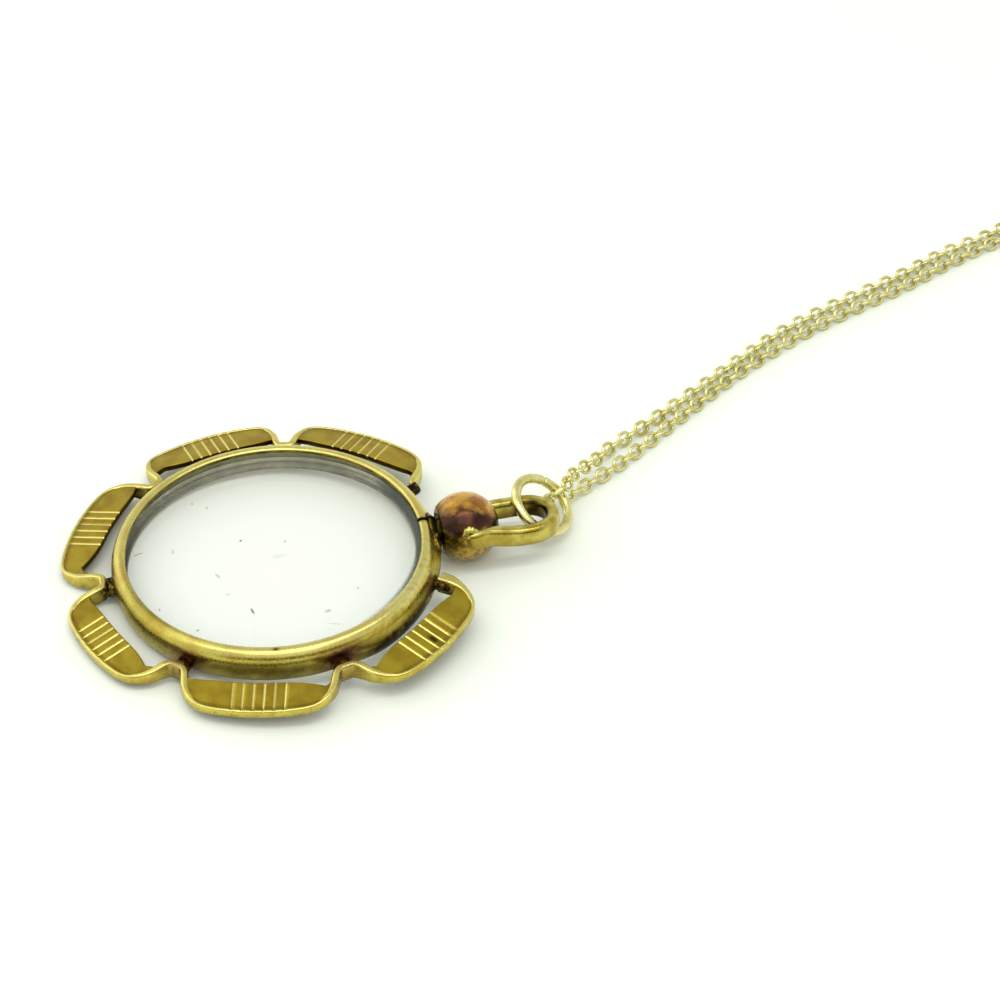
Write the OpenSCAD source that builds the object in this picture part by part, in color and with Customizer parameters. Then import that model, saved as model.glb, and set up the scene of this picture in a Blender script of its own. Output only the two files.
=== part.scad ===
// Round glass locket with a scalloped ribbon frame, lying on a flat surface with its chain.
// The x axis runs along the pendant towards its chain, z is up and the surface is z = 0.

/* [Bezel] */
// Outer diameter of the bezel ring
bezel_d = 25.2; // [24.8:0.1:25.6]
// Diameter of the opening inside the lips that hold the glass
lip_d = 22.8; // [22.4:0.1:23]
// Height of the bezel ring
bezel_h = 3; // [2.8:0.1:3.2]
// Height of the channel between the two lips
channel_h = 2.3; // [2.2:0.05:2.4]
// Thickness of the bezel wall behind the channel
wall_t = 0.5; // [0.4:0.05:0.6]

/* [Glass] */
// Thickness of each glass disc
glass_t = 0.85; // [0.7:0.05:1]
// Play between a glass disc and its channel
glass_gap = 0.05; // [0.03:0.01:0.1]

/* [Ribbon frame] */
// Radius of the rims of the petals
rim_r = 16.65; // [16.4:0.05:16.9]
// Radius of the inner edges of the petals
petal_in_r = 13.95; // [13.8:0.05:14.1]
// Height of the ribbon where it stands on edge near the ring
ribbon_h = 1.4; // [1.3:0.05:1.5]
// Thickness of the ribbon
ribbon_t = 0.5; // [0.4:0.05:0.6]
// Distance from the bezel's wall to the ribbon at a soldered joint
joint_gap = 0.7; // [0.64:0.02:0.76]
// Height of a petal's top at its inner edge, above the middle of the bezel
petal_in_z = 0.25; // [0.1:0.01:0.3]
// Slope of the petals, down towards the rim
petal_slope = 10; // [8:0.1:12]
// Number of bright-cut lines on each petal
cut_count = 6; // [4:1:6]
// Distance between two bright-cut lines
cut_step = 0.82; // [0.7:0.01:0.9]

/* [Screw ball and bail] */
// Diameter of the ball
ball_d = 5.52; // [5.3:0.02:5.7]
// Distance from the middle of the bezel to the middle of the ball
ball_x = 15.1; // [15:0.05:15.3]
// Radius of the split post under its thread
post_r = 1.1; // [1:0.05:1.15]
// Pitch of the thread
thread_pitch = 0.35; // [0.3:0.01:0.4]
// Distance between the middles of the two bail legs
bail_w = 4.3; // [4.29:0.01:4.31]
// Height of the bail's strip
bail_h = 1.6; // [1.5:0.02:1.64]
// Thickness of the bail's strip
bail_t = 1.04; // [1:0.01:1.06]
// Distance from the middle of the bezel to the outer end of the bail
bail_end_x = 22.72; // [22.6:0.02:22.8]
// Turn of the screwed-on bail about the pendant's axis, near leg up
bail_turn = 8.5; // [6:0.5:10]

/* [Jump ring and chain] */
// Outer diameter of the jump ring
jump_d = 5.7; // [5.66:0.01:5.74]
// Wire diameter of the jump ring
jump_wire = 0.76; // [0.7:0.01:0.78]
// Diameter of the chain's tube
chain_d = 1.1; // [1:0.05:1.1]
// Length of the clasp's barrel
clasp_l = 6; // [5.8:0.1:6.2]
// Diameter of the clasp's barrel
clasp_d = 2; // [1.8:0.1:2]

/* [Hidden] */
$fn = 96;

gold = "#B29C38";
dark_gold = "#7A4A28";
pale_gold = "#CFC478";

// The bezel's section is half an ellipse outside its crown and a small round inside it.
lip_to_crown = 0.27;
crown_r = lip_d / 2 + lip_to_crown;
half_h = bezel_h / 2;
lip_round = 0.1;
channel_r = bezel_d / 2 - wall_t;
section_step = 10;

// One row for each petal, all in degrees counted from the ball: foot where its ribbon starts,
// start and end of its rim, foot where its ribbon ends, middle of its bright-cut lines.
petals = [
    [24, 40, 67, 77, 52.3],
    [77, 86.5, 116, 125.5, 100.8],
    [125.5, 138, 169, 178.4, 152.3],
    [178.4, 189.5, 215.5, 228, 202.6],
    [228, 241.5, 269, 283, 255.8],
    [283, 298.5, 326, 336.5, 309.8],
];
foot_r = bezel_d / 2 + joint_gap + ribbon_t / 2;
foot_half = 1.4;
foot_pull = 0.22;
rim_pull = 0.46;
curve_steps = 7;
rim_step = 4;
ribbon_z = -0.47;
rim_proud = 0.04;
past_rim = 0.3;
solder_r = 0.75;
solder_in = 0.1;
end_flare = 0.75;
inner_start = 8;
inner_end = 8;
cut_w = 0.16;
cut_depth = 0.1;
cut_margin = 1;

// The split post and its thread, and the bore of the ball that screws onto it.
post_in_wall = 0.1;
post_from_x = channel_r + post_in_wall;
post_end_x = 16.2;
boss_end_x = 12.75;
boss_r = 1.6;
thread_depth = 0.15;
thread_from_x = 12.95;
split_w = 0.2;
ball_r = ball_d / 2;
ball_face_x = 13;
ball_nose_x = 17.6;
bore_end_x = 16.5;
bore_play = 0.11;

bail_r = bail_w / 2;
bail_bend_x = bail_end_x - bail_t / 2 - bail_r;
bail_tip_x = 15.25;
bail_at = [0, -0.05, -0.34];
bail_round = 0.34;
tip_solder_r = 0.75;

// The pendant lies on the far side of the bezel and on the bigger ball.
lean = asin((ball_r - half_h) / (ball_x + crown_r));
rest_h = ball_r - ball_x * sin(lean);

jump_at = [21.85, 1.75, 2.38];
jump_lean = 33;
jump_heading = -34;
jump_seam_at = 112;
jump_seam_w = 0.08;

// Route of the chain's middle, from one end of the clasp through the jump ring to the other end.
chain_route = [
    [190.4, 69.4, 0.95], [188, 75, 0.6], [179.5, 86.5, 0.55], [166, 96, 0.55],
    [149.5, 100.5, 0.55], [133, 99, 0.55], [118, 92, 0.55], [106, 80, 0.55],
    [98, 67, 0.55], [91.5, 55, 0.55], [84.5, 43.5, 0.55], [79.5, 37.5, 0.55],
    [73.7, 33.9, 0.55], [67.7, 31.5, 0.55], [61.7, 28.5, 0.55], [55.7, 25.9, 0.55],
    [49.7, 23, 0.55], [44.4, 19.6, 0.55], [39.2, 16, 0.55], [33.5, 12.2, 0.55],
    [30, 9.9, 0.65], [28.1, 8, 1.1], [25.8, 5.6, 2.1], [24.7, 4.2, 2.7],
    [24.2, 3.15, 2.95], [23.45, 2.7, 2.8], [22.8, 2.65, 2.1], [22.75, 3.15, 1.4],
    [23.2, 3.8, 1.15], [24.2, 4.1, 1], [25.4, 4.7, 0.7], [27.5, 6.1, 0.55],
    [29.6, 7.4, 0.55], [32.6, 9.6, 0.55], [37.6, 13.4, 0.55], [43.6, 17.8, 0.55],
    [50.2, 21.8, 0.55], [56.2, 24.7, 0.55], [62.2, 27.3, 0.55], [68.2, 30.3, 0.55],
    [74.2, 32.7, 0.55], [81, 34, 0.55], [88, 31.5, 0.55], [98, 25, 0.55],
    [111, 16, 0.55], [125, 9, 0.55], [141, 4.7, 0.55], [158, 6, 0.55],
    [173, 13, 0.55], [185, 25, 0.55], [192, 40, 0.55], [193.6, 54, 0.6],
    [192.9, 60.2, 0.95],
];
chain_sides = 8;
chain_step = 7;

clasp_at = [191.9, 64.8, clasp_d / 2];
clasp_heading = 105.2;
clasp_bevel = 0.4;
eye_r = 0.6;
eye_wire = 0.4;

function polar(r, a) = [r * cos(a), r * sin(a)];
function along(a) = [-sin(a), cos(a)];
function unit(v) = v / norm(v);
function square_part(v, t) = unit(v - t * (v * t));

// Cubic curve between two points of the ribbon that both run round the ring.
function ribbon_bend(r0, a0, pull0, r1, a1, pull1) =
    let (p0 = polar(r0, a0), p3 = polar(r1, a1), span = norm(p3 - p0),
         p1 = p0 + pull0 * span * along(a0), p2 = p3 - pull1 * span * along(a1))
    [for (i = [0:curve_steps]) let (u = i / curve_steps, w = 1 - u)
        w * w * w * p0 + 3 * w * w * u * p1 + 3 * w * u * u * p2 + u * u * u * p3];

// Middle line of the ribbon round one petal.
function petal_rise(p) =
    ribbon_bend(foot_r, p[0] + foot_half, foot_pull, rim_r - ribbon_t / 2, p[1], rim_pull);
function petal_rim(p) =
    [for (a = [p[1] + rim_step:rim_step:p[2] - rim_step / 2]) polar(rim_r - ribbon_t / 2, a)];
function petal_fall(p) =
    ribbon_bend(rim_r - ribbon_t / 2, p[2], rim_pull, foot_r, p[3] - foot_half, foot_pull);
function petal_line(p) = concat(petal_rise(p), petal_rim(p), petal_fall(p));

// Points beside a line, on its outer side where side is positive.
function beside(line, side) =
    [for (i = [0:len(line) - 1])
        let (t = unit(line[min(i + 1, len(line) - 1)] - line[max(i - 1, 0)]))
        line[i] + side * [t[1], -t[0]]];

// Inner edge of a petal, which flares out near both ends.
function petal_inner(p) =
    let (a0 = p[0] + inner_start, a1 = p[3] - inner_end, mid = (a0 + a1) / 2, half = (a1 - a0) / 2)
    [for (i = [-curve_steps:curve_steps]) let (s = i / curve_steps)
        polar(petal_in_r + end_flare * pow(abs(s), 3), mid - s * half)];

function petal_top_z(r) = petal_in_z - (r - petal_in_r) * tan(petal_slope);

function chain_span(i) = norm(chain_route[i + 1] - chain_route[i]);

// Point of the smooth curve through the chain's route, u of the way from point i to the next.
function route_point(i, u) =
    let (last = len(chain_route) - 1, p0 = chain_route[max(i - 1, 0)], p1 = chain_route[i],
         p2 = chain_route[min(i + 1, last)], p3 = chain_route[min(i + 2, last)])
    0.5 * (2 * p1 + (p2 - p0) * u + (2 * p0 - 5 * p1 + 4 * p2 - p3) * u * u
        + (3 * p1 - p0 - 3 * p2 + p3) * u * u * u);

module pendant() {
    translate([0, 0, rest_h]) rotate([0, -lean, 0]) children();
}

module bezel_ring() {
    rotate_extrude()
        polygon(concat(
            [for (a = [-90:section_step:90])
                [crown_r + (bezel_d / 2 - crown_r) * cos(a), half_h * sin(a)]],
            [[lip_d / 2 + lip_round, half_h - lip_round / 3], [lip_d / 2, half_h - lip_round],
             [lip_d / 2, channel_h / 2], [channel_r, channel_h / 2],
             [channel_r, -channel_h / 2], [lip_d / 2, -channel_h / 2],
             [lip_d / 2, lip_round - half_h], [lip_d / 2 + lip_round, lip_round / 3 - half_h]]));
}

// Ribbon on edge, whose top and bottom draw together towards the rim to meet the petals.
module ribbon_strip() {
    line = [for (p = petals) each petal_line(p)];
    out_r = rim_r + past_rim;
    low_z = ribbon_z - ribbon_h / 2;
    intersection() {
        linear_extrude(height = 4 * ribbon_h, center = true)
            polygon(concat(beside(line, ribbon_t / 2),
                [for (i = [len(line) - 1:-1:0]) beside(line, -ribbon_t / 2)[i]]));
        rotate_extrude()
            polygon([[crown_r, low_z], [petal_in_r, low_z],
                [out_r, petal_top_z(out_r) - ribbon_t], [out_r, petal_top_z(out_r) + rim_proud],
                [petal_in_r, petal_in_z + rim_proud], [crown_r, petal_in_z + rim_proud]]);
    }
}

module petal_plate(p) {
    outer = [for (q = beside(petal_line(p), ribbon_t / 2)) if (norm(q) > petal_in_r + end_flare) q];
    linear_extrude(height = 4 * ribbon_h, center = true)
        polygon(concat(outer, petal_inner(p)));
}

module petal_plates() {
    near_r = petal_in_r - past_rim;
    far_r = rim_r + past_rim;
    intersection() {
        union() for (p = petals) petal_plate(p);
        rotate_extrude()
            polygon([[near_r, petal_top_z(near_r)], [near_r, petal_top_z(near_r) - ribbon_t],
                [far_r, petal_top_z(far_r) - ribbon_t], [far_r, petal_top_z(far_r)]]);
    }
}

module bright_cuts() {
    cut_l = rim_r - petal_in_r + 2 * cut_margin;
    for (p = petals, i = [0:cut_count - 1])
        rotate([0, 0, p[4]])
            translate([petal_in_r, (i - (cut_count - 1) / 2) * cut_step, petal_in_z - cut_depth])
                rotate([0, petal_slope, 0])
                    translate([-cut_margin, -cut_w / 2, 0]) cube([cut_l, cut_w, cut_margin]);
}

module solder_joints() {
    for (a = concat([for (p = petals) p[0]], [petals[len(petals) - 1][3]]))
        rotate([0, 0, a]) translate([bezel_d / 2 + joint_gap / 2, 0, ribbon_z])
            cylinder(h = ribbon_h - 2 * solder_in, r = solder_r, center = true);
}

module threaded_post() {
    crest_r = post_r + thread_depth;
    rotate([0, 90, 0]) {
        translate([0, 0, post_from_x]) cylinder(h = post_end_x - post_from_x, r = post_r);
        translate([0, 0, post_from_x])
            cylinder(h = boss_end_x - post_from_x, r1 = boss_r, r2 = crest_r);
        for (x = [thread_from_x:thread_pitch:post_end_x - thread_pitch])
            translate([0, 0, x]) rotate_extrude()
                polygon([[0, -thread_depth], [post_r, -thread_depth], [crest_r, 0],
                    [post_r, thread_depth], [0, thread_depth]]);
    }
}

module bezel() {
    color(gold) pendant() difference() {
        union() {
            bezel_ring();
            ribbon_strip();
            petal_plates();
            solder_joints();
            threaded_post();
        }
        bright_cuts();
        translate([0, -split_w / 2, -bezel_h]) cube([ball_x + ball_d, split_w, 2 * bezel_h]);
    }
}

module glass_disc(side) {
    middle = side * (channel_h / 2 - glass_gap - glass_t / 2);
    translate([0, 0, middle]) cylinder(h = glass_t, r = channel_r - glass_gap, center = true);
}

module front_glass() {
    color("#E8F4EC", 0.4) pendant() glass_disc(1);
}

module back_glass() {
    color("#E8F4EC", 0.4) pendant() glass_disc(-1);
}

module bail_section() {
    w = bail_t - 2 * bail_round;
    h = bail_h - 2 * bail_round;
    square([bail_t, h], center = true);
    square([w, bail_h], center = true);
    for (x = [-w / 2, w / 2], y = [-h / 2, h / 2])
        translate([x, y]) circle(r = bail_round, $fn = 32);
}

module bail() {
    leg_l = bail_bend_x - bail_tip_x;
    translate(bail_at) rotate([-bail_turn, 0, 0]) {
        translate([bail_bend_x, 0, 0]) rotate([0, 0, -90])
            rotate_extrude(angle = 180) translate([bail_r, 0]) bail_section();
        for (side = [-1, 1]) {
            translate([bail_bend_x - leg_l, side * bail_r, 0])
                rotate([90, 0, 90]) linear_extrude(height = leg_l) bail_section();
            translate([bail_tip_x, side * bail_r, 0]) sphere(r = tip_solder_r);
        }
    }
}

module screw_ball() {
    bore_r = post_r + thread_depth + bore_play;
    color(dark_gold) pendant() difference() {
        union() {
            intersection() {
                translate([ball_x, 0, 0]) sphere(r = ball_r);
                translate([ball_face_x, -ball_d, -ball_d])
                    cube([ball_nose_x - ball_face_x, 2 * ball_d, 2 * ball_d]);
            }
            bail();
        }
        translate([ball_face_x - bore_r, 0, 0]) rotate([0, 90, 0])
            cylinder(h = bore_end_x - ball_face_x + bore_r, r = bore_r);
    }
}

module jump_ring() {
    mid_r = (jump_d - jump_wire) / 2;
    color(pale_gold) translate(jump_at) rotate([0, jump_lean, jump_heading]) difference() {
        rotate_extrude() translate([mid_r, 0]) circle(d = jump_wire, $fn = 32);
        rotate([0, 0, jump_seam_at]) translate([mid_r - jump_wire, -jump_seam_w / 2, -jump_wire])
            cube([2 * jump_wire, jump_seam_w, 2 * jump_wire]);
    }
}

// Tube along the chain's route, with a ring of points at each route point and halfway along
// each stretch longer than chain_step.
module chain() {
    last = len(chain_route) - 1;
    rings = concat([for (i = [0:last - 1], u = [0, 0.5])
        if (u == 0 || chain_span(i) > chain_step) route_point(i, u)], [chain_route[last]]);
    count = len(rings);
    runs = [for (i = [0:count - 1]) unit(rings[min(i + 1, count - 1)] - rings[max(i - 1, 0)])];
    ups = [for (i = 0, v = square_part([0, 0, 1], runs[0]); i < count;
        i = i + 1, v = square_part(v, runs[min(i, count - 1)])) v];
    points = [for (i = [0:count - 1], k = [0:chain_sides - 1]) let (a = 360 * (k + 0.5) / chain_sides)
        rings[i] + chain_d / 2 * (cos(a) * cross(ups[i], runs[i]) + sin(a) * ups[i])];
    walls = [for (i = [0:count - 2], k = [0:chain_sides - 1])
        let (n = (k + 1) % chain_sides, j = i * chain_sides)
        each [[j + k, j + n + chain_sides, j + n], [j + k, j + k + chain_sides, j + n + chain_sides]]];
    color(pale_gold) polyhedron(points = points, faces = concat(walls,
        [[for (k = [0:chain_sides - 1]) k]],
        [[for (k = [chain_sides - 1:-1:0]) (count - 1) * chain_sides + k]]));
}

// Plain barrel with an eye at each end for the chain's last links.
module clasp() {
    half_l = clasp_l / 2;
    r = clasp_d / 2;
    color(gold) translate(clasp_at) rotate([0, 0, clasp_heading]) rotate([0, 90, 0]) {
        cylinder(h = clasp_l - 2 * clasp_bevel, r = r, center = true);
        for (side = [0, 180]) rotate([side, 0, 0]) {
            translate([0, 0, half_l - clasp_bevel])
                cylinder(h = clasp_bevel, r1 = r, r2 = r - clasp_bevel);
            translate([0, 0, half_l + eye_r]) rotate([90, 0, 0])
                rotate_extrude() translate([eye_r, 0]) circle(d = eye_wire, $fn = 24);
        }
    }
}

bezel();
front_glass();
back_glass();
screw_ball();
jump_ring();
chain();
clasp();
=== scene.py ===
import math

import bpy
import numpy as np
from mathutils import Matrix, Vector, noise


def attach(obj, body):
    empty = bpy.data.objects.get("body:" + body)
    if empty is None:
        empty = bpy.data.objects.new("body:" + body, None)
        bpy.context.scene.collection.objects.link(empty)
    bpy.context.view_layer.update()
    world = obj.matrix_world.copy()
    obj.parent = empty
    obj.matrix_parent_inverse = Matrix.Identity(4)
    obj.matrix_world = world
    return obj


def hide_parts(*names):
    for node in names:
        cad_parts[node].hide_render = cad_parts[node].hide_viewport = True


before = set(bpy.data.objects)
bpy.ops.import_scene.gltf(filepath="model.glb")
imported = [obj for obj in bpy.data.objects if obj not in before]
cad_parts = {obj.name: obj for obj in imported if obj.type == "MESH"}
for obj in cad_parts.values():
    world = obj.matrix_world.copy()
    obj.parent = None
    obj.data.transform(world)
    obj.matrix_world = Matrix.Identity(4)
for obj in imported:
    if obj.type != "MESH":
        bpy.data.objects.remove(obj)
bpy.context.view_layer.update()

# Sizes are in millimetres, as the maker would measure them, and become metres in the meshes.
MM = 0.001

# Bezel and glass
BEZEL_R = 12.6
LIP_R = 11.4
CROWN_R = 11.67
HALF_H = 1.5
CHANNEL_R = 12.1
CHANNEL_HALF_H = 1.15
CHANNEL_EDGE = 0.03
GLASS_TOP_Z = 1.1
# Half of the split, in degrees
SPLIT_HALF = 0.65
# How full the outside's bulge is, outwards and upwards; 1 would be an ellipse
BULGE_POWERS = (0.85, 0.92)
# Rounding of a lip: how far out from its edge, at which height
LIP_NOSE = [(0.17, 1.475), (0.07, 1.43), (0.015, 1.36), (0, 1.28)]
# Unevenness of the wall: height, waves in a turn, phase in degrees
WALL_WAVES = [(0.012, 5, 40), (0.01, 11, 0)]
WALL_SET_BACK = 0.012

# Marks on the upper glass: azimuth, radius, half length, half width, heading in degrees, strength
GLASS_MARKS = [
    (150.4, 2.74, 0.1, 0.14, 0, 0.85),
    (25.8, 1.05, 0.13, 0.16, 0, 0.4),
    (281.1, 1.13, 0.8, 0.35, 0, 0.1),
    (205.2, 5.2, 0.42, 0.16, -70, 0.38),
    (226.3, 6.2, 0.26, 0.14, 10, 0.3),
    (247.5, 7.29, 0.48, 0.12, -80, 0.8),
    (288.6, 8.58, 0.34, 0.22, 16, 0.42),
    (311.1, 8.19, 0.1, 0.14, 0, 0.5),
    (170.4, 10.45, 0.5, 0.07, 16, 0.75),
    (207.2, 10.73, 0.1, 0.14, 0, 0.65),
    (227.9, 10.56, 0.16, 0.14, 0, 0.55),
    (169.7, 7.78, 0.12, 0.35, 0, 0.25),
    (129.0, 8.56, 0.12, 0.2, 0, 0.3),
    (126.5, 7.26, 0.12, 0.2, 0, 0.3),
    (287.5, 10.15, 0.8, 0.06, -20, 0.3),
]
# How far a mark's outline strays, the size of its strays, and how deep a mark reaches
MARK_WOBBLE = 0.2
WOBBLE_SIZE = 0.25
MARK_DEPTH = 0.6
# Painted shade and dirt under the lip: radii between which it thickens, the side that it lies on,
# and how far out on that side it starts and is full, and how much it covers there
RIM_SHADE_R = (10.9, 11.15)
RIM_SHADE_SIDE = (0.97, -0.26, 0)
RIM_SHADE_OUT = (7, 10.5)
RIM_SHADE = 0.75

# Ribbon frame: one row a petal, in degrees counted from the ball: foot where its ribbon starts,
# start and end of its rim, foot where its ribbon ends, middle of its bright-cut lines
PETALS = [
    (24, 41, 66, 77, 52.3),
    (77, 87.5, 115, 125.5, 100.8),
    (125.5, 139.5, 166, 178.4, 152.3),
    (178.4, 192.5, 213, 228, 202.6),
    (228, 244.5, 266, 283, 255.8),
    (283, 300, 323, 336.5, 309.8),
]
# Radius of the ribbon's middle at each foot, the first and the last ones free ends
FOOT_RADII = [13.55, 13.6, 13.42, 13.3, 13.55, 13.55, 13.1]
# Radius of each petal's inner edge at its start, in its middle and at its end
PETAL_INNER_R = [
    (14.4, 13.75, 14.2),
    (14.0, 13.7, 14.6),
    (14.0, 13.6, 14.9),
    (14.5, 14.0, 14.8),
    (14.3, 13.95, 14.9),
    (14.7, 13.75, 14.5),
]
RIM_R = 16.65
PETAL_IN_R = 13.95
PETAL_IN_Z = 0.25
PETAL_SLOPE = math.tan(math.radians(10))
RIBBON_T = 0.5
RIBBON_LOW_Z = -1.17
RIBBON_ROUND = 0.2
RIBBON_STEP = 0.14
RIM_PROUD = 0.03
BEND_PROUD = 0.07
RIM_INNER_W = 0.06
FOOT_SPREAD = 0.09
FOOT_HALF = 1.4
# How strongly the ribbon's bend holds its heading at a foot, at a rim and at its last, free end
FOOT_PULL = 0.22
RIM_PULL = 0.72
END_PULL = 0.02
# How much the last end is broadened, inwards and outwards
LAST_END_W = (0.12, 0.25)

# Petal panels: degrees from a foot to where the inner edge begins, and how far the end columns stay
# inside the outline
EDGE_INSET = 8
PANEL_END = 0.04
# Rounding of the inner edge, from its lower corner up: how far in, how far below the top, painted
# shade
EDGE_IN = np.array([0, 0, 0.03, 0.08, 0.16])
EDGE_DROP = np.array([0, 0.12, 0.05, 0, 0])
EDGE_SHADE = np.array([0.85, 0.85, 0.45, 0, 0])
# Painted shade on a panel's side by the rim, under the ribbon
RIM_SIDE_SHADE = 0.35
# Bright-cut lines: their places across a petal, and half of each at its top and at its floor
CUT_STEP = 0.78
CUT_COUNT = 6
CUTS = (np.arange(CUT_COUNT) - (CUT_COUNT - 1) / 2) * CUT_STEP
CUT_HALF_W = 0.105
CUT_FLOOR = 0.04
CUT_DEPTH = 0.08
# How much each petal's top is darkened with painted shade
PETAL_SHADE = (0, 0, 0.04, 0.2, 0.12, 0)
# Dark pits in the metal: azimuth, radius, half length round, half width
PETAL_PIT = (310.0, 15.55, 0.2, 0.38)
BEZEL_PIT = (261.1, 11.8, 0.2, 0.12)

# Split post
POST_R = 1.1
POST_END_X = 16.2
POST_STEP = 0.035
POST_SLOT_HALF = 0.1
POST_BOSS = 0.45
THREAD_DEPTH = 0.15
THREAD_PITCH = 0.35

# Ball and bail
BALL_R = 2.76
BALL_X = 15.1
BALL_FACE_X = 13.0
BALL_NOSE_X = 17.7
BALL_EDGE = 0.12
BORE_R = POST_R + THREAD_DEPTH + 0.11
BORE_END_X = 16.5
# Which side of the ball the torch has coloured orange, and which side, by the post, is darkened
# with soot and painted shade
WARM_SIDE = (0.12, 0.62, 0.77)
SHADED_SOOTY_SIDE = (-0.9, -0.4, 0.15)
BAIL_W = 4.3
BAIL_T = 1.04
BAIL_H = 1.6
BAIL_TIP_X = 14.7
BAIL_END_X = 22.72
BAIL_SPLAY = 0.35
BAIL_LIFT = 0.55
BAIL_AT = (0, -0.05, -0.34)
BAIL_TURN = math.radians(8.5)
# Solder at each leg of the bail: which side, height; and its half sizes
BAIL_FEET = [(-1, 1.0), (1, 0.45)]
BAIL_FOOT_SIZE = (0.75, 0.55, 0.8)

# The pendant lies on the far side of its bezel and on the ball.
LEAN = math.asin((BALL_R - HALF_H) / (BALL_X + CROWN_R))
REST_H = BALL_R - BALL_X * math.sin(LEAN)

# Jump ring: radius of its middle, thickness of its wire, place, lean and heading, where its seam is
# and half of the seam's gap
JUMP_R = 2.47
JUMP_WIRE = 0.8
JUMP_AT = (21.85, 1.75, 2.38)
JUMP_LEAN = math.radians(33)
JUMP_HEADING = math.radians(-34)
JUMP_SEAM_AT = 112
JUMP_SEAM_HALF = 0.05

# Course of the chain's middle, from one end of the clasp through the jump ring to the other
CHAIN_ROUTE = [
    (190.4, 69.4, 0.95), (188, 75, 0.6), (179.5, 86.5, 0.55), (166, 96, 0.55),
    (149.5, 100.5, 0.55), (133, 99, 0.55), (118, 92, 0.55), (106, 80, 0.55),
    (98, 67, 0.55), (91.5, 55, 0.55), (84.5, 43.5, 0.55), (79.5, 37.5, 0.55),
    (73.7, 33.9, 0.55), (67.7, 31.5, 0.55), (61.7, 28.5, 0.55), (55.7, 25.9, 0.55),
    (49.7, 23, 0.55), (44.4, 19.6, 0.55), (39.2, 16, 0.55), (33.5, 12.2, 0.55),
    (30, 9.9, 0.65), (28.1, 8, 1.1), (25.8, 5.6, 2.1), (24.7, 4.2, 2.7),
    (24.2, 3.15, 2.95), (23.45, 2.7, 2.8), (22.8, 2.65, 2.1), (22.75, 3.15, 1.4),
    (23.2, 3.8, 1.15), (24.2, 4.1, 1), (25.4, 4.7, 0.7), (27.5, 6.1, 0.55),
    (29.6, 7.4, 0.55), (32.6, 9.6, 0.55), (37.6, 13.4, 0.55), (43.6, 17.8, 0.55),
    (50.2, 21.8, 0.55), (56.2, 24.7, 0.55), (62.2, 27.3, 0.55), (68.2, 30.3, 0.55),
    (74.2, 32.7, 0.55), (81, 34, 0.55), (88, 31.5, 0.55), (98, 25, 0.55),
    (111, 16, 0.55), (125, 9, 0.55), (141, 4.7, 0.55), (158, 6, 0.55),
    (173, 13, 0.55), (185, 25, 0.55), (192, 40, 0.55), (193.6, 54, 0.6),
    (192.9, 60.2, 0.95),
]
CHAIN_FAR_Y = 100.35
LINK_L = 1.66
LINK_W = 1.24
LINK_WIRE = 0.3
LINK_PITCH = 1.07

# Clasp: barrel, its grip's grooves and its eyes
CLASP_HALF_L = 3.0
CLASP_R = 1.0
CLASP_BEVEL = 0.4
GROOVE_STEP = 0.25
GROOVE_DEPTH = 0.05
GROOVE_HALF_W = 0.09
GROOVE_FLOOR = 0.03
EYE_R = 0.6
EYE_WIRE_R = 0.2
CLASP_AT = (191.9, 64.8, 1.0)
CLASP_HEADING = math.radians(105.2)

# Table, and how strongly the room lights it
TABLE_HALF = 1500
ROOM_LIGHT = 1.05

# Camera: its place, which way it looks, which way is right in its picture, and its lens
CAMERA_AT = (-23.0, -150.4, 135.6)
CAMERA_LOOK = (0.201, 0.7396, -0.6423)
CAMERA_RIGHT = (0.9716, -0.2342, 0.0344)
FOCAL_LENGTH = 93.6
SENSOR_W = 36


# Geometry helpers
def unit(vectors):
    return vectors / np.linalg.norm(vectors, axis=-1, keepdims=True)


def polar(radius, degrees):
    a = np.radians(degrees)
    return np.stack([radius * np.cos(a), radius * np.sin(a)], -1)


def along_and_across(points_xy, degrees):
    """How far each point lies out along an azimuth, and how far to the left of it."""
    c, s = math.cos(math.radians(degrees)), math.sin(math.radians(degrees))
    x, y = points_xy[:, 0], points_xy[:, 1]
    return x * c + y * s, y * c - x * s


def in_pit(points_xy, pit):
    """1 in the middle of a pit, 0 outside it."""
    azimuth, radius, half_l, half_w = pit
    out, across = along_and_across(points_xy, azimuth)
    deep = np.exp(-(across / half_l) ** 2 - ((out - radius) / half_w) ** 2)
    return np.clip(2.2 * deep, 0, 1)


def ramp(low, high, value):
    t = np.clip((value - low) / (high - low), 0, 1)
    return t * t * (3 - 2 * t)


def rise_and_fall(stretch, value):
    """1 between the two middle values of a stretch, 0 outside it."""
    begins, full, still_full, ends = stretch
    return ramp(begins, full, value) * ramp(ends, still_full, value)


def near(azimuths, middle, half):
    """1 at one azimuth in degrees, fading to either side of it."""
    return np.exp(-((azimuths - middle) / half) ** 2)


def turn(points, axis, angle):
    """Points turned about an axis."""
    c, s = math.cos(angle), math.sin(angle)
    i, k = {"x": (1, 2), "y": (2, 0), "z": (0, 1)}[axis]
    points = np.array(points, float)
    a, b = points[:, i].copy(), points[:, k].copy()
    points[:, i], points[:, k] = c * a - s * b, s * a + c * b
    return points


def lay_down(points):
    """From the pendant's own frame to the surface that it lies on."""
    return turn(points, "y", -LEAN) + np.array([0, 0, REST_H])


def lumps(points, size, seed=0.0):
    """Smooth noise between -1 and 1 at each point, with lumps of about that size."""
    return np.array([noise.noise(Vector((p / size + seed).tolist())) for p in np.asarray(points)])


def lumpy(shape, layers):
    """A shape round the origin, made uneven in layers of height, size of the lumps and seed."""
    swell = sum((high * lumps(shape, size, seed) for high, size, seed in layers), 1)
    return shape * swell[:, None]


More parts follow.
